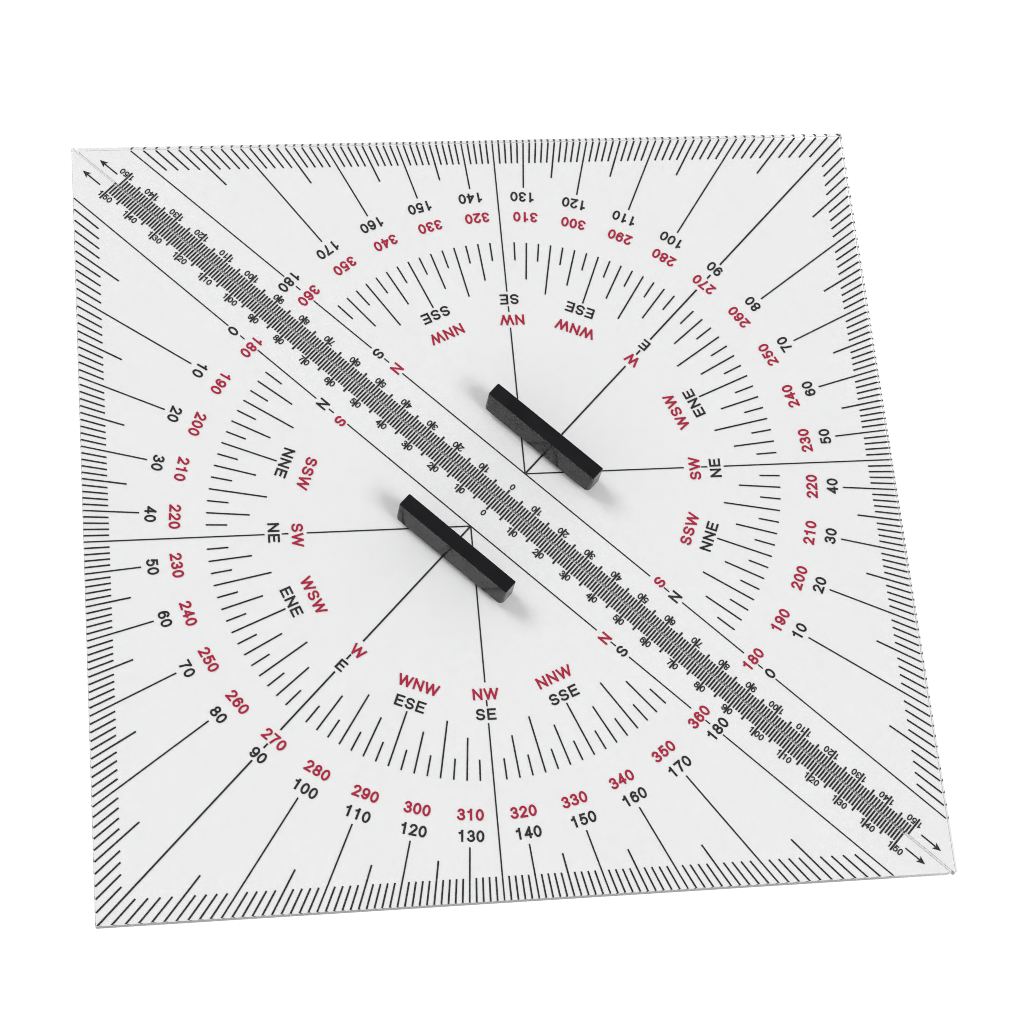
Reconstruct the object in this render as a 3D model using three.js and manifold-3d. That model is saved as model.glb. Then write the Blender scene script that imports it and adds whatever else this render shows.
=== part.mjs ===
// A pair of clear navigation triangles that work together as a parallel rule.
// Each triangle is an acrylic plate with a moulded handle held by two small screws from beneath.
// They lie long edge to long edge and slide along that edge, so a bearing set on one is carried by the other.
// Millimetres, +Z up, plates lying on z = 0. The origin is the middle of the seam between the two long edges.
// +X runs along the seam and +Y points from triangle a to triangle b.

import * as THREE from "three";
import { mergeVertices } from "three/addons/utils/BufferGeometryUtils.js";
import Module from "manifold-3d";

const wasm = await Module();
wasm.setup();

// Driving dimensions.
const longEdge = 335; // hypotenuse of the 45-45-90 plate
const plateThickness = 3;
const plateCornerRadius = 0.5;
const plateEdgeBreak = 0.1; // small chamfer round both faces
const seamGap = 0.1; // running clearance between the two long edges
const restOffset = 1.2; // how far triangle b stands along +X of triangle a at rest

const handle = {
  length: 40,
  footWidth: 6.3,
  topWidth: 4.5,
  height: 8.5,
  endDraft: 0.1, // how much each end leans in over the height
  footCornerRadius: 1.6,
  topCornerRadius: 0.4,
  edgeBreak: 0.15, // chamfer round the top face
  fromLongEdge: 21.9, // handle centreline to the long edge
  offCentre: -2.35, // handle centre from the middle of the long edge, along the triangle's own X
  glueLine: 0.05, // film of cement between the plate and the foot
};

const screw = {
  spacing: 24,
  headRadius: 1.9,
  headRim: 0.25, // straight rim of the head below its cone
  shankRadius: 1,
  length: 8.2,
  tipLength: 1.2,
  recess: 0.2, // head sunk below the plate's underside
  slotLength: 2.2,
  slotWidth: 0.55,
  slotDepth: 0.8,
};
const screwClearance = 0.15; // radial, round the head and the shank in the plate
const pilotClearance = 0.05; // radial, round the shank in the handle
const roundSegments = 32;
const cornerSegments = 6;

const blackPlastic = new THREE.MeshStandardMaterial({ color: 0x17181a, roughness: 0.35, metalness: 0 });
const acrylic = new THREE.MeshStandardMaterial({
  color: 0xf1f4f3,
  roughness: 0.05,
  metalness: 0,
  transparent: true,
  opacity: 0.3,
});
const steel = new THREE.MeshStandardMaterial({ color: 0xb9bcc0, roughness: 0.35, metalness: 0.9 });

// A closed three.js geometry as a manifold-3d solid.
function solidOf(geometry) {
  const bare = geometry.clone();
  bare.deleteAttribute("normal");
  bare.deleteAttribute("uv");
  const merged = mergeVertices(bare, 1e-4);
  const vertProperties = new Float32Array(merged.attributes.position.array);
  const triVerts = new Uint32Array(merged.index.array);
  return new wasm.Manifold(new wasm.Mesh({ numProp: 3, vertProperties, triVerts }));
}

// A manifold-3d solid as a three.js geometry.
function geometryOf(solid) {
  const mesh = solid.getMesh();
  const geometry = new THREE.BufferGeometry();
  geometry.setAttribute("position", new THREE.BufferAttribute(mesh.vertProperties, 3));
  geometry.setIndex(new THREE.BufferAttribute(mesh.triVerts, 1));
  geometry.computeVertexNormals();
  return geometry;
}

// The body with every cutter taken out of it.
function cut(bodyGeometry, cutterGeometries) {
  let solid = solidOf(bodyGeometry);
  for (const cutter of cutterGeometries) {
    solid = solid.subtract(solidOf(cutter));
  }
  return geometryOf(solid);
}

// A convex outline, counter-clockwise, with every corner rounded.
function roundedShape(corners, radius) {
  const shape = new THREE.Shape();
  corners.forEach((corner, i) => {
    const before = corners[(i + corners.length - 1) % corners.length];
    const after = corners[(i + 1) % corners.length];
    const arriving = corner.clone().sub(before).normalize();
    const leaving = after.clone().sub(corner).normalize();
    const halfInside = (Math.PI - arriving.angleTo(leaving)) / 2;
    const inwards = leaving.clone().sub(arriving).normalize();
    const centre = corner.clone().addScaledVector(inwards, radius / Math.sin(halfInside));
    const start = Math.atan2(arriving.y, arriving.x) - Math.PI / 2;
    const end = Math.atan2(leaving.y, leaving.x) - Math.PI / 2;
    shape.absarc(centre.x, centre.y, radius, start, end, false);
  });
  return shape;
}

// One ring of a rounded rectangle, centred on the Z axis, counter-clockwise.
function rectangleRing(length, width, radius, z) {
  const ring = [];
  const quarter = Math.PI / 2;
  for (let corner = 0; corner < 4; corner += 1) {
    const signX = corner === 0 || corner === 3 ? 1 : -1;
    const signY = corner < 2 ? 1 : -1;
    for (let step = 0; step <= cornerSegments; step += 1) {
      const angle = quarter * (corner + step / cornerSegments);
      const x = signX * (length / 2 - radius) + radius * Math.cos(angle);
      const y = signY * (width / 2 - radius) + radius * Math.sin(angle);
      ring.push(new THREE.Vector3(x, y, z));
    }
  }
  return ring;
}

// Rings of equal point counts, lowest first, joined into one closed skin with flat ends.
function loft(rings) {
  const count = rings[0].length;
  const last = (rings.length - 1) * count;
  const points = rings.flat();
  const index = [];
  for (let level = 0; level < rings.length - 1; level += 1) {
    for (let i = 0; i < count; i += 1) {
      const a = level * count + i;
      const b = level * count + ((i + 1) % count);
      index.push(a, b, b + count, a, b + count, a + count);
    }
  }
  for (let i = 1; i < count - 1; i += 1) {
    index.push(0, i + 1, i);
    index.push(last, last + i, last + i + 1);
  }
  const geometry = new THREE.BufferGeometry().setFromPoints(points);
  geometry.setIndex(index);
  return geometry;
}

// A solid of revolution about Z from [radius, z] pairs that start and end on the axis, lowest first.
function turned(profile) {
  const points = profile.map(([radius, z]) => new THREE.Vector2(radius, z));
  return new THREE.LatheGeometry(points, roundSegments).rotateX(Math.PI / 2);
}

// Places of the two screws, in the triangle's own frame.
function screwPlaces() {
  return [-1, 1].map((side) => {
    const x = handle.offCentre + (side * screw.spacing) / 2;
    return new THREE.Vector3(x, handle.fromLongEdge, screw.recess);
  });
}

// Countersunk screw, head down, its head face on z = 0. The clearance grows it into the cutter for its hole.
function screwBlank(clearance, through) {
  const cone = screw.headRadius - screw.shankRadius;
  const headRadius = screw.headRadius + clearance;
  const shankRadius = screw.shankRadius + clearance;
  const start = through ? -2 * screw.recess : 0;
  return turned([
    [0, start],
    [headRadius, start],
    [headRadius, screw.headRim],
    [shankRadius, screw.headRim + cone],
    [shankRadius, screw.length - screw.tipLength + clearance],
    [0, screw.length + clearance],
  ]);
}

function screwGeometry() {
  const slots = [0, Math.PI / 2].map((turn) =>
    new THREE.BoxGeometry(screw.slotLength, screw.slotWidth, 2 * screw.slotDepth).rotateZ(turn),
  );
  return cut(screwBlank(0, false), slots);
}

function plateGeometry() {
  const half = longEdge / 2;
  const corners = [
    new THREE.Vector2(-half, 0),
    new THREE.Vector2(half, 0),
    new THREE.Vector2(0, half),
  ];
  const blank = new THREE.ExtrudeGeometry(roundedShape(corners, plateCornerRadius), {
    depth: plateThickness - 2 * plateEdgeBreak,
    bevelEnabled: true,
    bevelThickness: plateEdgeBreak,
    bevelSize: plateEdgeBreak,
    bevelOffset: -plateEdgeBreak,
    bevelSegments: 1,
    curveSegments: cornerSegments,
  }).translate(0, 0, plateEdgeBreak);
  const holes = screwPlaces().map((place) =>
    screwBlank(screwClearance, true).translate(place.x, place.y, place.z),
  );
  return cut(blank, holes);
}

function handleGeometry() {
  const topLength = handle.length - 2 * handle.endDraft;
  const shoulder = handle.height - handle.edgeBreak;
  const blank = loft([
    rectangleRing(handle.length, handle.footWidth, handle.footCornerRadius, 0),
    rectangleRing(topLength, handle.topWidth, handle.topCornerRadius, shoulder),
    rectangleRing(
      topLength - 2 * handle.edgeBreak,
      handle.topWidth - 2 * handle.edgeBreak,
      handle.topCornerRadius - handle.edgeBreak,
      handle.height,
    ),
  ]);
  const base = plateThickness + handle.glueLine;
  blank.translate(handle.offCentre, handle.fromLongEdge, base);
  const pilots = screwPlaces().map((place) =>
    screwBlank(pilotClearance, false).translate(place.x, place.y, place.z),
  );
  return cut(blank, pilots);
}

function namedMesh(name, geometry, material) {
  const mesh = new THREE.Mesh(geometry, material);
  mesh.name = name;
  return mesh;
}

// One complete triangle in its own frame: long edge on y = 0, square corner on +Y, underside on z = 0.
function triangle(letter) {
  const group = new THREE.Group();
  group.add(namedMesh(`triangle_plate_${letter}`, plateGeometry(), acrylic));
  group.add(namedMesh(`handle_${letter}`, handleGeometry(), blackPlastic));
  screwPlaces().forEach((place, i) => {
    const mesh = namedMesh(`handle_screw_${letter}_${i + 1}`, screwGeometry(), steel);
    mesh.position.copy(place);
    group.add(mesh);
  });
  return group;
}

const part = new THREE.Group();

const triangleA = triangle("a");
triangleA.rotation.z = Math.PI;
triangleA.position.set(-restOffset / 2, -seamGap / 2, 0);
part.add(triangleA);

const triangleB = triangle("b");
triangleB.position.set(restOffset / 2, seamGap / 2, 0);
part.add(triangleB);

export default part;
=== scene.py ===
"""The looks of a pair of clear navigation triangles that slide on each other as a parallel rule.

The plates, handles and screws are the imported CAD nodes, with finer edges and materials.
The markings are thin closed prisms of ink, printed from behind.
They lie just inside each plate's underside.
"""

import math

import bmesh
import bpy
from mathutils import Matrix, Vector


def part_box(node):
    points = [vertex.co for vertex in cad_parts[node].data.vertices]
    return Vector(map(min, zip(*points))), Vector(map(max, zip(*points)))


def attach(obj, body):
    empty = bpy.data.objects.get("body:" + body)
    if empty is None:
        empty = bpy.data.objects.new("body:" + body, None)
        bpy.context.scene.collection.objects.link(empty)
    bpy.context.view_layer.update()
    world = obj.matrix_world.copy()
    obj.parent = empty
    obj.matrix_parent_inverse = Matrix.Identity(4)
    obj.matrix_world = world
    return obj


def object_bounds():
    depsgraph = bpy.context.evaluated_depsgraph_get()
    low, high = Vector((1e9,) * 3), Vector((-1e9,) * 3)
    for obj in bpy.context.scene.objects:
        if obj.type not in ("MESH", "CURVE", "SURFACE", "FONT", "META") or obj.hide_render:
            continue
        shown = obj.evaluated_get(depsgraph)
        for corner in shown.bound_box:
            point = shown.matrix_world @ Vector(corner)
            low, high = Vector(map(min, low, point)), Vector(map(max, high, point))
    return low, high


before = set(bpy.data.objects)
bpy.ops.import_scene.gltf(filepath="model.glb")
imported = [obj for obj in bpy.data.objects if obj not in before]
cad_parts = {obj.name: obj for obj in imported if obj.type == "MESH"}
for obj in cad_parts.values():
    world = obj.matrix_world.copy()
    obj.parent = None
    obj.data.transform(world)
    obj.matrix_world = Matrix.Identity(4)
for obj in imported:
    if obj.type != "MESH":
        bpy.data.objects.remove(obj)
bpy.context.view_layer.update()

MM = 0.001

# The markings, in millimetres, in a triangle's own frame: the long edge lies on y = 0 with its middle at
# x = 0, the square corner is on +Y and the underside is z = 0. Angles are in degrees from +X.
HALF_LONG_EDGE = 167.5
CENTRE_Y = 11.6  # protractor centre above the long edge
EDGE_MARGIN = 0.12  # the print stops this short of the legs
RULE_MARGIN = 0.09  # and this short of the long edge
HOLE_MARGIN = 0.3  # and this short of the screw holes
BLACK_LAYER = (0.02, 0.05)  # lowest and highest z of the ink
RED_LAYER = (0.06, 0.09)
LIFT = 0.002  # strokes that overlap lie this much higher one after another, so that no two faces coincide
RED_SHIFT = {"a": (-0.6, 0.5), "b": (0.5, 0.28)}  # how far the red print is out of register

LINE = {
    "baseline": 0.38,
    "diagonal": 0.4,
    "upright": 0.5,
    "ten": 0.43,
    "degree": 0.47,
    "compass": 0.45,
    "rule": 0.52,
    "arrow": 0.42,
}
DEGREE_TICK = 7.2  # lengths square to the leg
FIVE_DEGREE_TICK = 12.6
TEN_DEGREE_START = 94.8
COMPASS_OUTER = 75.9
COMPASS_STEPS = 64  # quarter points over the half circle
COMPASS_INNER = {1: 69.8, 2: 63.5, 4: 59.1}  # by the largest of these that divides the step
LETTER_GAP = (47.3, 52.5, 54.4, 59.3)  # a line stops, shows as a dash between two labels, and starts again
NUMBER_GAP = (82.2, 87.4, 89.1, 93.8)
BLACK_NUMBER_RADIUS = 91.6
RED_NUMBER_RADIUS = 84.8
BLACK_LETTER_RADIUS = 56.7
RED_LETTER_RADIUS = 50.0
TEXT_HEIGHT = 3.35
BLACK_WEIGHT, RED_WEIGHT = 0.175, 0.18  # stroke width over text height
LETTER_NUDGE = (0, -0.3, -0.5, -1.2, 0.1, 0.1, -0.5, 0.4, 0)  # of each compass label, along its ring
RED_LETTER_NUDGE, BLACK_NUMBER_NUDGE = 0.2, 0.3  # of all of them
RULE_REACH = 150
RULE_TICK_END = {1: 3.4, 5: 4.5, 10: 6.4}
RULE_ZERO_END = 4.6
RULE_TEXT_Y = 4.9
RULE_ZERO_TEXT_Y = 5.9
RULE_TEXT_HEIGHT = 2.0
RULE_DIGIT_PLACES = (-1.0, 1.0, 2.5)  # digit centres from the tick, along the reading direction
ARROW_Y = 3.0
ARROW_FROM, ARROW_TIP = 153.0, 160.0
ARROW_HEAD_LENGTH, ARROW_HEAD_NOTCH, ARROW_HEAD_HALF_WIDTH = 2.4, 1.85, 1.05

SHARP_TURN = math.radians(60)  # a stroke is split where it turns by more than this
ARC_STEP = 18  # about this many degrees lie between the points of a round stroke
LOOP_CLOSENESS = 0.1  # a stroke whose ends are nearer than this share of its width is a loop

BLACK_LETTERS = ("N", "NNE", "NE", "ENE", "E", "ESE", "SE", "SSE", "S")
RED_LETTERS = ("S", "SSW", "SW", "WSW", "W", "WNW", "NW", "NNW", "N")


def arc(x, y, rx, ry, start, end):
    """Points along an elliptical arc, from start to end degrees."""
    steps = max(2, round(abs(end - start) / ARC_STEP))
    angles = [math.radians(start + (end - start) * i / steps) for i in range(steps + 1)]
    return [(x + rx * math.cos(a), y + ry * math.sin(a)) for a in angles]


def turned(stroke, width):
    """A stroke turned half round inside a cell of this width and unit height."""
    return [(width - x, 1 - y) for x, y in stroke]


SIX = [arc(0.31, 0.31, 0.29, 0.31, 0, 360), arc(0.33, 0.5, 0.31, 0.5, 40, 180) + [(0.02, 0.31)]]

# The centre lines of each character, with its cell width and its advance over the text height.
GLYPHS = {
    "0": ([arc(0.3, 0.5, 0.3, 0.5, 0, 360)], 0.6, 0.774),
    "1": ([[(0.1, 0.78), (0.26, 0.83), (0.36, 1), (0.36, 0)]], 0.6, 0.774),
    "2": ([arc(0.3, 0.72, 0.28, 0.28, 170, -35) + [(0.02, 0), (0.6, 0)]], 0.6, 0.774),
    "3": ([arc(0.3, 0.76, 0.25, 0.24, 160, -90), arc(0.3, 0.26, 0.3, 0.26, 90, -165)], 0.6, 0.774),
    "4": ([[(0.45, 0), (0.45, 1), (0, 0.28), (0.61, 0.28)]], 0.6, 0.774),
    "5": ([[(0.54, 1), (0.13, 1), (0.06, 0.5)] + arc(0.3, 0.33, 0.3, 0.33, 145, -150)], 0.6, 0.774),
    "6": (SIX, 0.6, 0.774),
    "7": ([[(0, 1), (0.6, 1), (0.36, 0.55), (0.22, 0)]], 0.6, 0.774),
    "8": ([arc(0.3, 0.75, 0.24, 0.25, 0, 360), arc(0.3, 0.26, 0.3, 0.26, 0, 360)], 0.6, 0.774),
    "9": ([turned(stroke, 0.62) for stroke in SIX], 0.6, 0.774),
    "N": ([[(0, 0), (0, 1), (0.76, 0), (0.76, 1)]], 0.76, 1.006),
    "E": ([[(0.7, 1), (0, 1), (0, 0), (0.7, 0)], [(0, 0.52), (0.62, 0.52)]], 0.66, 0.929),
    "S": ([arc(0.38, 0.75, 0.33, 0.25, 15, 270) + arc(0.38, 0.25, 0.36, 0.25, 90, -165)[1:]], 0.76, 0.929),
    "W": ([[(0, 1), (0.32, 0), (0.655, 1), (0.99, 0), (1.31, 1)]], 1.31, 1.315),
}


def direction(a, b):
    """The unit vector from one point towards another."""
    return (Vector(b) - Vector(a)).normalized()


def smooth_runs(points):
    """Splits a line at its sharp turns."""
    runs = [[points[0]]]
    for i in range(1, len(points)):
        runs[-1].append(points[i])
        if i + 1 < len(points):
            turn = direction(points[i - 1], points[i]).angle(direction(points[i], points[i + 1]))
            if turn > SHARP_TURN:
                runs.append([points[i]])
    return runs


def rails(points, width, closed):
    """Pairs of points on the two sides of a line of this width."""
    pairs = []
    count = len(points)
    for i, point in enumerate(points):
        ways = []
        if i > 0 or closed:
            ways.append(direction(points[i - 1], point))
        if i + 1 < count or closed:
            ways.append(direction(point, points[(i + 1) % count]))
        mean = sum(ways, Vector((0, 0))).normalized()
        reach = width / 2 / mean.dot(ways[0])
        side = Vector((-mean.y, mean.x)) * reach
        pairs.append((Vector(point) + side, Vector(point) - side))
    return pairs


class Print:
    """The ink of one colour on one triangle: thin closed prisms between two heights."""

    def __init__(self, layer, weight, shift=(0, 0)):
        self.mesh = bmesh.new()
        self.low, self.high = layer
        self.weight = weight
        self.shift = Vector(shift)

    def corner(self, point, z):
        """A new vertex above a point of the drawing."""
        x, y = Vector(point) + self.shift
        return self.mesh.verts.new((x, y, z))

    def prism(self, outline, order=0):
        """A prism on an outline, lifted by its order."""
        low = [self.corner(p, self.low + order * LIFT) for p in outline]
        high = [self.corner(p, self.high + order * LIFT) for p in outline]
        self.mesh.faces.new(high)
        self.mesh.faces.new(low[::-1])
        for i in range(len(outline)):
            j = (i + 1) % len(outline)
            self.mesh.faces.new((low[i], low[j], high[j], high[i]))

    def ribbon(self, points, width, closed=False, order=0):
        """A prism along a line, from butt end to butt end or round a loop."""
        low, high = self.low + order * LIFT, self.high + order * LIFT
        rings = []
        for left, right in rails(points, width, closed):
            section = ((left, low), (right, low), (right, high), (left, high))
            rings.append([self.corner(point, z) for point, z in section])
        spans = list(zip(rings, rings[1:]))
        if closed:
            spans.append((rings[-1], rings[0]))
        else:
            self.mesh.faces.new(rings[0])
            self.mesh.faces.new(rings[-1][::-1])
        for here, there in spans:
            for i in range(4):
                j = (i + 1) % 4
                self.mesh.faces.new((here[i], there[i], there[j], here[j]))

    def stroke(self, points, width, order):
        """One stroke of a character, with square ends. Returns how many ribbons it took."""
        if (Vector(points[0]) - Vector(points[-1])).length < width * LOOP_CLOSENESS:
            self.ribbon(points[:-1], width, closed=True, order=order)
            return 1
        runs = smooth_runs(points)
        for i, run in enumerate(runs):
            start = Vector(run[0]) - direction(run[0], run[1]) * width / 2
            end = Vector(run[-1]) + direction(run[-2], run[-1]) * width / 2
            self.ribbon([start, *run[1:-1], end], width, order=order + i)
        return len(runs)

    def character(self, letter, place, turn, height):
        """A character whose cell is centred on a place and turned by an angle in degrees."""
        strokes, cell, _ = GLYPHS[letter]
        width = self.weight * height
        scale = height - width
        turning = Matrix.Rotation(math.radians(turn), 2)
        order = 0
        for stroke in strokes:
            local = [Vector(((x - cell / 2) * scale, (y - 0.5) * scale)) for x, y in stroke]
            order += self.stroke([Vector(place) + turning @ p for p in local], width, order)

    def text(self, text, place, turn, height):
        """A line of text centred on a place."""
        advances = [GLYPHS[letter][2] * height for letter in text]
        along = Matrix.Rotation(math.radians(turn), 2) @ Vector((1, 0))
        at = -sum(advances) / 2
        for letter, advance in zip(text, advances):
            self.character(letter, Vector(place) + along * (at + advance / 2), turn, height)
            at += advance

    def ring_text(self, text, angle, radius, nudge=0):
        """Text on a ring round the protractor centre, its top towards the centre."""
        a = math.radians(angle + 90)
        along = Vector((math.cos(a), math.sin(a))) * nudge
        self.text(text, on_ray(angle, radius) + along, angle + 90, TEXT_HEIGHT)

    def ray(self, angle, inner, outer, width, holes=(), order=0):
        """A line along a ray from the protractor centre, broken where it would cross a screw hole."""
        start, end = on_ray(angle, inner), on_ray(angle, outer)
        for a, b in outside_holes(start, end, holes):
            self.ribbon([a, b], width, order=order)

    def finish(self, name, material, letter):
        """The print as a piece on its triangle."""
        bmesh.ops.recalc_face_normals(self.mesh, faces=self.mesh.faces)
        self.mesh.transform(TRIANGLE_PLACE[letter])
        data = bpy.data.meshes.new(name)
        self.mesh.to_mesh(data)
        self.mesh.free()
        data.materials.append(material)
        piece = bpy.data.objects.new(name, data)
        bpy.context.scene.collection.objects.link(piece)
        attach(piece, f"triangle_{letter}")


def on_ray(angle, radius):
    """The point at this angle and distance from the protractor centre."""
    a = math.radians(angle)
    return Vector((radius * math.cos(a), CENTRE_Y + radius * math.sin(a)))


def leg_radius(angle, inset):
    """Distance from the protractor centre, along a ray, to a line this far inside the leg."""
    a = math.radians(angle)
    return (HALF_LONG_EDGE - CENTRE_Y - inset * math.sqrt(2)) / (abs(math.cos(a)) + math.sin(a))


def edge_radius(angle, width):
    """Where a line along a ray stops, so that no corner of its square end crosses the margin of the leg."""
    slant = math.radians(abs(angle % 90 - 45))
    return leg_radius(angle, EDGE_MARGIN + width / 2 * math.sin(slant))


def outside_holes(start, end, holes):
    """The parts of a line that lie outside round holes given as (centre, radius)."""
    length = (end - start).length
    way = (end - start) / length
    kept = [(0.0, length)]
    for centre, radius in holes:
        along = (centre - start).dot(way)
        off = (centre - start - way * along).length
        if off >= radius:
            continue
        half = math.sqrt(radius * radius - off * off)
        parts = []
        for a, b in kept:
            parts += [(a, min(b, along - half)), (max(a, along + half), b)]
        kept = [(a, b) for a, b in parts if b > a]
    return [(start + way * a, start + way * b) for a, b in kept]


def place_of(letter):
    """From a triangle's own frame in millimetres to the shared frame in metres."""
    low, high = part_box(f"triangle_plate_{letter}")
    middle = (low.x + high.x) / 2
    to_metres = Matrix.Scale(MM, 4)
    if letter == "b":
        return Matrix.Translation((middle, low.y, low.z)) @ to_metres
    half_turn = Matrix.Rotation(math.pi, 4, "Z")
    return Matrix.Translation((middle, high.y, low.z)) @ half_turn @ to_metres


TRIANGLE_PLACE = {letter: place_of(letter) for letter in "ab"}


def screw_holes(letter):
    """Centre and clear radius of each countersunk hole, in the triangle's own frame."""
    holes = []
    to_own = TRIANGLE_PLACE[letter].inverted()
    for number in (1, 2):
        low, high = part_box(f"handle_screw_{letter}_{number}")
        centre = to_own @ ((low + high) / 2)
        radius = (high.x - low.x) / 2 / MM + HOLE_MARGIN
        holes.append((Vector((centre.x, centre.y)), radius))
    return holes


def draw_protractor(ink, holes):
    """Degree ticks along the legs, and the lines through the protractor centre."""
    for degree in range(1, 180):
        if degree % 45 == 0:
            continue
        if degree % 10 == 0:
            inner, width = TEN_DEGREE_START, LINE["ten"]
        elif degree % 5 == 0:
            inner, width = leg_radius(degree, FIVE_DEGREE_TICK), LINE["degree"]
        else:
            inner, width = leg_radius(degree, DEGREE_TICK), LINE["degree"]
        ink.ray(degree, inner, edge_radius(degree, width), width)
    for order, kind in enumerate(("baseline", "diagonal", "upright", "diagonal", "baseline")):
        degree = 45 * order
        gaps = LETTER_GAP if kind == "diagonal" else LETTER_GAP + NUMBER_GAP
        ends = [0, *gaps, edge_radius(degree, LINE[kind])]
        for inner, outer in zip(ends[::2], ends[1::2]):
            ink.ray(degree, inner, outer, LINE[kind], holes, order)


def draw_compass_ring(ink):
    """The quarter-point ticks, longer at the half points and longest at the full points."""
    for step in range(1, COMPASS_STEPS):
        if step % (COMPASS_STEPS // 4) == 0:
            continue
        inner = COMPASS_INNER[max(n for n in COMPASS_INNER if step % n == 0)]
        ink.ray(step * 180 / COMPASS_STEPS, inner, COMPASS_OUTER, LINE["compass"])


def draw_letters(ink, letters, radius, nudge):
    """The compass letters, spread evenly over the half circle."""
    for i, text in enumerate(letters):
        ink.ring_text(text, i * 180 / (len(letters) - 1), radius, LETTER_NUDGE[i] + nudge)


def draw_numbers(ink, first, radius, nudge):
    """A number every ten degrees, counted up from the first."""
    for degree in range(0, 181, 10):
        ink.ring_text(str(first + degree), degree, radius, nudge)


def draw_rule(ink):
    """Millimetre ticks and their numbers along the long edge, counted both ways from the middle."""
    for x in range(-RULE_REACH, RULE_REACH + 1):
        kind = max(n for n in RULE_TICK_END if x % n == 0)
        end = RULE_TICK_END[kind] if x else RULE_ZERO_END
        ink.ribbon([(x, RULE_MARGIN), (x, end)], LINE["rule"])
    for x in range(-RULE_REACH, RULE_REACH + 1, 10):
        if not x:
            ink.character("0", (0, RULE_ZERO_TEXT_Y), 180, RULE_TEXT_HEIGHT)
            continue
        for digit, along in zip(str(abs(x)), RULE_DIGIT_PLACES):
            ink.character(digit, (x - along, RULE_TEXT_Y), 180, RULE_TEXT_HEIGHT)


def draw_arrows(ink):
    """An arrow beyond each end of the rule, pointing outwards."""
    for side in (-1, 1):
        tip = Vector((side * ARROW_TIP, ARROW_Y))
        notch = tip - Vector((side * ARROW_HEAD_NOTCH, 0))
        ink.ribbon([(side * ARROW_FROM, ARROW_Y), notch], LINE["arrow"])
        barb_up = tip + Vector((-side * ARROW_HEAD_LENGTH, ARROW_HEAD_HALF_WIDTH))
        barb_down = tip + Vector((-side * ARROW_HEAD_LENGTH, -ARROW_HEAD_HALF_WIDTH))
        ink.prism([tip, barb_up, notch, barb_down], order=1)


def print_markings(letter):
    """The black and the red print of one triangle."""
    black = Print(BLACK_LAYER, BLACK_WEIGHT)
    draw_protractor(black, screw_holes(letter))
    draw_compass_ring(black)
    draw_letters(black, BLACK_LETTERS, BLACK_LETTER_RADIUS, 0)
    draw_numbers(black, 0, BLACK_NUMBER_RADIUS, BLACK_NUMBER_NUDGE)
    draw_rule(black)
    draw_arrows(black)
    black.finish(f"black_print_{letter}", BLACK_INK, letter)
    red = Print(RED_LAYER, RED_WEIGHT, RED_SHIFT[letter])
    draw_letters(red, RED_LETTERS, RED_LETTER_RADIUS, RED_LETTER_NUDGE)
    draw_numbers(red, 180, RED_NUMBER_RADIUS, 0)
    red.finish(f"red_print_{letter}", RED_INK, letter)


# Materials. Colours are linear, noise scales are per metre and bump distances are in metres.

ACRYLIC_IOR, PLASTIC_IOR, INK_IOR = 1.49, 1.42, 1.45
LAMP_LIGHT_KEPT = (0.97, 0.972, 0.971)  # by one surface of the acrylic
NOISE_SPAN = (0.3, 0.7)  # where most values of a noise texture lie


def new_material(name):
    """An empty node material and its node tree."""
    material = bpy.data.materials.new(name)
    material.use_nodes = True
    material.node_tree.nodes.clear()
    return material, material.node_tree


def add(tree, kind, **inputs):
    """A node with its sockets set by name, underscores standing for spaces."""
    node = tree.nodes.new(kind)
    for key, value in inputs.items():
        node.inputs[key.replace("_", " ")].default_value = value
    return node


def noise(tree, scale, detail=3, stretch=(1, 1, 1)):
    """Noise over the object's own coordinates."""
    coordinates = tree.nodes.new("ShaderNodeTexCoord")
    mapping = add(tree, "ShaderNodeMapping", Scale=stretch)
    texture = add(tree, "ShaderNodeTexNoise", Scale=scale, Detail=detail)
    tree.links.new(coordinates.outputs["Object"], mapping.inputs["Vector"])
    tree.links.new(mapping.outputs["Vector"], texture.inputs["Vector"])
    return texture.outputs["Fac"]


def ranged(tree, value, low, high, source=NOISE_SPAN):
    """Maps a value from a source range to low..high."""
    start, end = source
    node = add(tree, "ShaderNodeMapRange", From_Min=start, From_Max=end, To_Min=low, To_Max=high)
    tree.links.new(value, node.inputs["Value"])
    return node.outputs["Result"]


def blended(tree, value, first, second):
    """A colour between two, by a noise value."""
    node = tree.nodes.new("ShaderNodeMix")
    node.data_type = "RGBA"
    colour_in = [socket for socket in node.inputs if socket.type == "RGBA"]
    colour_out = [socket for socket in node.outputs if socket.type == "RGBA"][0]
    colour_in[0].default_value = (*first, 1)
    colour_in[1].default_value = (*second, 1)
    tree.links.new(ranged(tree, value, 0, 1), node.inputs[0])
    return colour_out


def bump(tree, height, strength, distance):
    """Surface relief from a height value."""
    node = add(tree, "ShaderNodeBump", Strength=strength, Distance=distance)
    tree.links.new(height, node.inputs["Height"])
    return node.outputs["Normal"]


def finish_surface(tree, colour, roughness, relief, shader):
    """Links what varies over a surface to its shader."""
    tree.links.new(colour, shader.inputs["Base Color"])
    tree.links.new(roughness, shader.inputs["Roughness"])
    tree.links.new(relief, shader.inputs["Normal"])


def output(tree, shader):
    """Makes a shader the material's surface."""
    node = tree.nodes.new("ShaderNodeOutputMaterial")
    tree.links.new(shader, node.inputs["Surface"])


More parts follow.
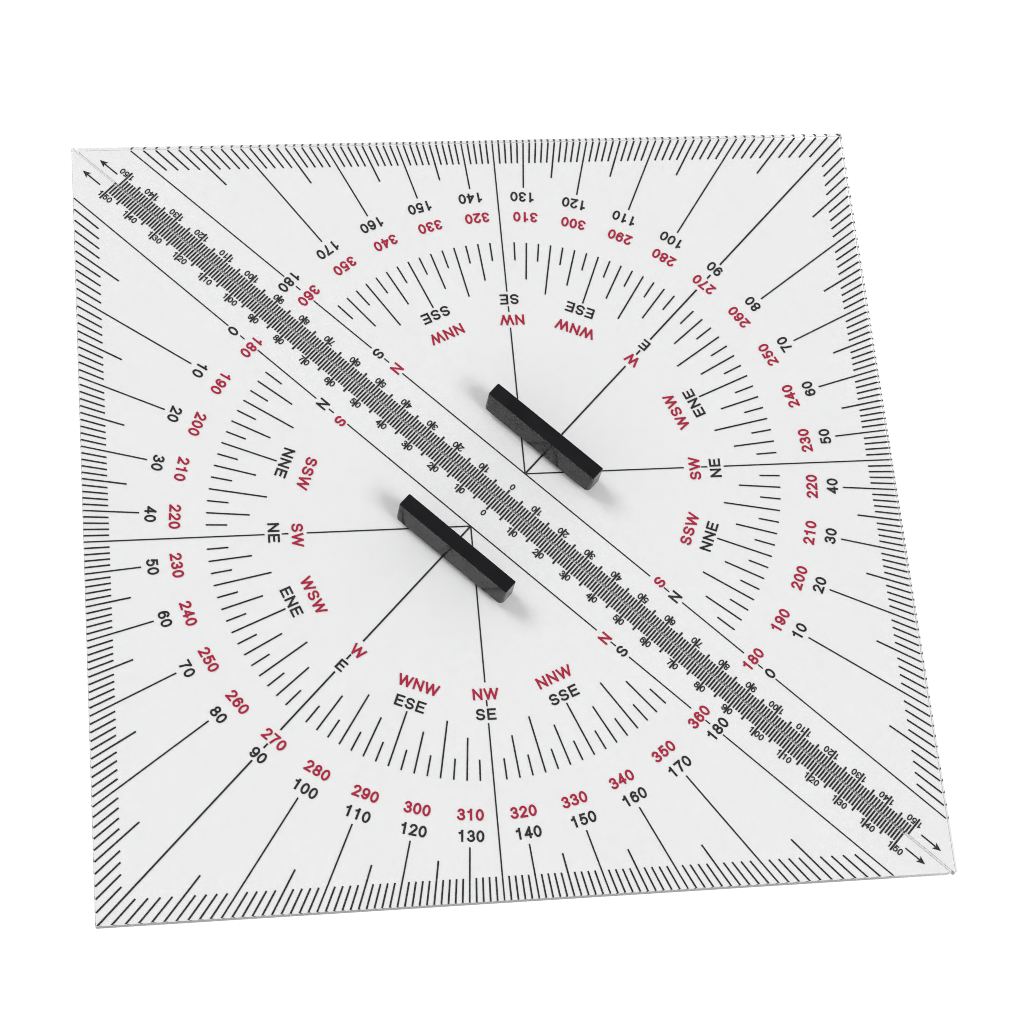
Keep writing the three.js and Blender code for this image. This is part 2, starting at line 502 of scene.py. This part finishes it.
def lamps_shine_through(tree, shader):
    """Glass for the eye that lamps pass with only a little loss, so that it throws a pale shadow."""
    through = add(tree, "ShaderNodeBsdfTransparent", Color=(*LAMP_LIGHT_KEPT, 1))
    path = tree.nodes.new("ShaderNodeLightPath")
    either = tree.nodes.new("ShaderNodeMath")
    either.operation = "MAXIMUM"
    mix = tree.nodes.new("ShaderNodeMixShader")
    tree.links.new(path.outputs["Is Shadow Ray"], either.inputs[0])
    tree.links.new(path.outputs["Is Diffuse Ray"], either.inputs[1])
    tree.links.new(either.outputs[0], mix.inputs[0])
    tree.links.new(shader.outputs[0], mix.inputs[1])
    tree.links.new(through.outputs[0], mix.inputs[2])
    output(tree, mix.outputs[0])


def acrylic_material():
    """The faces of clear cast acrylic, with faint rubbing marks."""
    material, tree = new_material("clear_acrylic")
    shader = add(tree, "ShaderNodeBsdfPrincipled", IOR=ACRYLIC_IOR, Transmission_Weight=1.0)
    handling = noise(tree, 45, 4)
    scratches = noise(tree, 900, 2, stretch=(1, 0.04, 1))
    colour = blended(tree, handling, (0.88, 0.882, 0.881), (0.896, 0.898, 0.897))
    roughness = ranged(tree, handling, 0.004, 0.03)
    relief = bump(tree, scratches, strength=0.02, distance=0.0002)
    finish_surface(tree, colour, roughness, relief, shader)
    lamps_shine_through(tree, shader)
    return material


def frosted_edge_material(name, clearness, dark, pale, roughness_range):
    """A milky edge of the same acrylic: the frosted sawn legs, or the long edges, whose grey is painted
    shade of the seam between the plates.
    """
    material, tree = new_material(name)
    shader = add(tree, "ShaderNodeBsdfPrincipled", IOR=ACRYLIC_IOR, Transmission_Weight=clearness)
    sawing = noise(tree, 700, 3, stretch=(1, 1, 0.2))
    colour = blended(tree, sawing, dark, pale)
    roughness = ranged(tree, sawing, *roughness_range)
    relief = bump(tree, sawing, strength=0.1, distance=0.00008)
    finish_surface(tree, colour, roughness, relief, shader)
    lamps_shine_through(tree, shader)
    return material


def plastic_material():
    """Fairly glossy black moulded plastic, with a very fine mould texture and traces of handling."""
    material, tree = new_material("black_handle_plastic")
    shader = add(tree, "ShaderNodeBsdfPrincipled", IOR=PLASTIC_IOR)
    grain = noise(tree, 2600)
    handling = noise(tree, 160)
    colour = blended(tree, handling, (0.004, 0.004, 0.005), (0.007, 0.007, 0.009))
    roughness = ranged(tree, handling, 0.15, 0.21)
    relief = bump(tree, grain, strength=0.012, distance=0.00006)
    finish_surface(tree, colour, roughness, relief, shader)
    output(tree, shader.outputs[0])
    return material


def steel_material():
    """Brushed screw steel."""
    material, tree = new_material("brushed_screw_steel")
    shader = add(tree, "ShaderNodeBsdfPrincipled", Metallic=1.0)
    brushing = noise(tree, 3000, stretch=(1, 0.05, 0.3))
    colour = blended(tree, brushing, (0.5, 0.51, 0.52), (0.66, 0.66, 0.66))
    roughness = ranged(tree, brushing, 0.22, 0.42)
    relief = bump(tree, brushing, strength=0.15, distance=0.00005)
    finish_surface(tree, colour, roughness, relief, shader)
    output(tree, shader.outputs[0])
    return material


def ink_material(name, thin, thick):
    """Screen ink, a little uneven in its cover."""
    material, tree = new_material(name)
    shader = add(tree, "ShaderNodeBsdfPrincipled", IOR=INK_IOR)
    cover = noise(tree, 1500)
    colour = blended(tree, cover, thin, thick)
    roughness = ranged(tree, cover, 0.5, 0.7)
    relief = bump(tree, cover, strength=0.1, distance=0.00002)
    finish_surface(tree, colour, roughness, relief, shader)
    output(tree, shader.outputs[0])
    return material


def paper_material():
    """The plain white surface below, which can't be seen from beneath."""
    material, tree = new_material("white_surface")
    shader = add(tree, "ShaderNodeBsdfPrincipled", Roughness=0.9)
    fibre = noise(tree, 400, 4)
    colour = blended(tree, fibre, (0.9, 0.9, 0.9), (0.93, 0.93, 0.93))
    tree.links.new(colour, shader.inputs["Base Color"])
    geometry = tree.nodes.new("ShaderNodeNewGeometry")
    clear = tree.nodes.new("ShaderNodeBsdfTransparent")
    mix = tree.nodes.new("ShaderNodeMixShader")
    tree.links.new(geometry.outputs["Backfacing"], mix.inputs[0])
    tree.links.new(shader.outputs[0], mix.inputs[1])
    tree.links.new(clear.outputs[0], mix.inputs[2])
    output(tree, mix.outputs[0])
    return material


BLACK_INK = ink_material("black_screen_ink", (0.012, 0.012, 0.013), (0.006, 0.006, 0.0065))
RED_INK = ink_material("red_screen_ink", (0.43, 0.006, 0.045), (0.36, 0.005, 0.036))


FACE, LEG, LONG_EDGE = 0, 1, 2  # the material slots of a plate
LEG_LEAST_X = 0.3  # a leg's normal leans at least this far along X
LONG_EDGE_LEAST_Y = 0.8


def plate_slot(normal):
    """The material slot of a plate's face, by its normal."""
    if abs(normal.x) > LEG_LEAST_X:
        return LEG
    if abs(normal.y) > LONG_EDGE_LEAST_Y:
        return LONG_EDGE
    return FACE


WELD_DISTANCE = 0.002 * MM
FLAT_LIMIT = math.radians(0.5)  # faces that meet at less are joined into one
ROUNDED_FROM = math.radians(30)  # edges that turn by more are rounded
ROUNDING_STEPS = 3
CREASED_FROM = math.radians(32)  # edges that turn by more stay sharp to the eye
LARGEST_FACES_ONLY = 100  # the weight with which large flat faces keep their true normals


def dress(names, materials, slot_of=None, rounding=0):
    """Gives CAD nodes their materials, joined faces, finely rounded or sharp edges and smooth curves."""
    for name in names:
        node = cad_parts[name]
        node.data.materials.clear()
        for material in materials:
            node.data.materials.append(material)
        for face in node.data.polygons:
            face.use_smooth = True
            face.material_index = slot_of(face.normal) if slot_of else 0
        weld = node.modifiers.new("weld", "WELD")
        weld.merge_threshold = WELD_DISTANCE
        if rounding:
            join = node.modifiers.new("flat_faces", "DECIMATE")
            join.decimate_type = "DISSOLVE"
            join.angle_limit = FLAT_LIMIT
            bevel = node.modifiers.new("edges", "BEVEL")
            bevel.width = rounding
            bevel.segments = ROUNDING_STEPS
            bevel.limit_method = "ANGLE"
            bevel.angle_limit = ROUNDED_FROM
            bevel.use_clamp_overlap = False
        else:
            split = node.modifiers.new("creases", "EDGE_SPLIT")
            split.split_angle = CREASED_FROM
        flat = node.modifiers.new("flat_shading", "WEIGHTED_NORMAL")
        flat.weight = LARGEST_FACES_ONLY


FLOOR_REACH = 12.0  # in metres, each way from the middle
FLOOR_GAP = 0.1 * MM


def add_stage():
    """A wide white surface a hair below the plates."""
    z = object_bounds()[0].z - FLOOR_GAP
    mesh = bmesh.new()
    signs = ((-1, -1), (1, -1), (1, 1), (-1, 1))
    mesh.faces.new([mesh.verts.new((x * FLOOR_REACH, y * FLOOR_REACH, z)) for x, y in signs])
    data = bpy.data.meshes.new("floor")
    mesh.to_mesh(data)
    mesh.free()
    data.materials.append(paper_material())
    floor = bpy.data.objects.new("floor", data)
    bpy.context.scene.collection.objects.link(floor)


LAMP_ELEVATION = math.radians(50)
LAMP_WIDTH = math.radians(25)  # as seen from the plates, which makes the shadows soft
LAMP_STRENGTH = 1.44


def add_lamp(name, azimuth):
    """A large far soft box, which lights the whole surface evenly."""
    data = bpy.data.lights.new(name, "SUN")
    data.angle = LAMP_WIDTH
    data.energy = LAMP_STRENGTH
    lamp = bpy.data.objects.new(name, data)
    level = math.cos(LAMP_ELEVATION)
    lamp.location = (level * math.cos(azimuth), level * math.sin(azimuth), math.sin(LAMP_ELEVATION))
    lamp.rotation_euler = (-lamp.location).to_track_quat("-Z", "Y").to_euler()
    lamp.visible_glossy = False
    bpy.context.scene.collection.objects.link(lamp)


ROOM_LOW_STRENGTH, ROOM_HIGH_STRENGTH = 0.9, 0.3
ROOM_HIGH_FROM = 0.9  # height on the unit sphere above which the room is at its dimmest


def add_world():
    """A soft white room, bright low down and dimmer overhead."""
    world = bpy.data.worlds.new("room")
    world.use_nodes = True
    tree = world.node_tree
    tree.nodes.clear()
    coordinates = tree.nodes.new("ShaderNodeTexCoord")
    parts = tree.nodes.new("ShaderNodeSeparateXYZ")
    tree.links.new(coordinates.outputs["Generated"], parts.inputs[0])
    height = parts.outputs["Z"]
    strength = ranged(tree, height, ROOM_LOW_STRENGTH, ROOM_HIGH_STRENGTH, source=(0.0, ROOM_HIGH_FROM))
    background = add(tree, "ShaderNodeBackground", Color=(1, 1, 1, 1))
    tree.links.new(strength, background.inputs["Strength"])
    out = tree.nodes.new("ShaderNodeOutputWorld")
    tree.links.new(background.outputs[0], out.inputs["Surface"])
    bpy.context.scene.world = world


CAMERA_TARGET = Vector((5.45, -0.18, 1.1)) * MM
CAMERA_DISTANCE = 0.7277
CAMERA_AZIMUTH = math.radians(-66.67)  # where the camera stands, from +X
CAMERA_ELEVATION = math.radians(67.12)
CAMERA_ROLL = math.radians(17.77)
CAMERA_LENS, CAMERA_SENSOR = 88.29, 36  # in millimetres
CAMERA_NEAREST = 0.01


def add_camera():
    """A camera that looks down at the plates with its picture turned by the roll."""
    data = bpy.data.cameras.new("camera")
    data.sensor_width = CAMERA_SENSOR
    data.lens = CAMERA_LENS
    data.clip_start = CAMERA_NEAREST
    camera = bpy.data.objects.new("camera", data)
    bpy.context.scene.collection.objects.link(camera)
    level = math.cos(CAMERA_ELEVATION)
    x, y = level * math.cos(CAMERA_AZIMUTH), level * math.sin(CAMERA_AZIMUTH)
    back = Vector((x, y, math.sin(CAMERA_ELEVATION)))
    right = Vector((0, 0, 1)).cross(back).normalized()
    up = back.cross(right)
    turned_right = right * math.cos(CAMERA_ROLL) + up * math.sin(CAMERA_ROLL)
    turned_up = up * math.cos(CAMERA_ROLL) - right * math.sin(CAMERA_ROLL)
    axes = Matrix((turned_right, turned_up, back)).transposed()
    camera.matrix_world = Matrix.Translation(CAMERA_TARGET + back * CAMERA_DISTANCE) @ axes.to_4x4()
    bpy.context.scene.camera = camera


FILTER_WIDTH = 0.9  # of the picture, in its own dots
HANDLE_ROUNDING = 0.1 * MM

add_camera()
add_world()
add_lamp("lamp_right", 0)
add_lamp("lamp_left", math.pi)
bpy.context.scene.view_settings.view_transform = "Standard"
bpy.context.scene.cycles.filter_width = FILTER_WIDTH

for letter in "ab":
    print_markings(letter)
PLATE_MATERIALS = [
    acrylic_material(),
    frosted_edge_material(
        "sawn_leg",
        clearness=0.9,
        dark=(0.7, 0.705, 0.703),
        pale=(0.82, 0.825, 0.823),
        roughness_range=(0.06, 0.16),
    ),
    # The grey of the long edges is painted shade, which darkens the seam where the two plates meet.
    frosted_edge_material(
        "long_edge_painted_shade",
        clearness=0.75,
        dark=(0.4, 0.4, 0.4),
        pale=(0.5, 0.5, 0.5),
        roughness_range=(0.2, 0.3),
    ),
]
SCREWS = [f"handle_screw_{letter}_{number}" for letter in "ab" for number in (1, 2)]
dress(["triangle_plate_a", "triangle_plate_b"], PLATE_MATERIALS, plate_slot)
dress(["handle_a", "handle_b"], [plastic_material()], rounding=HANDLE_ROUNDING)
dress(SCREWS, [steel_material()])
add_stage()
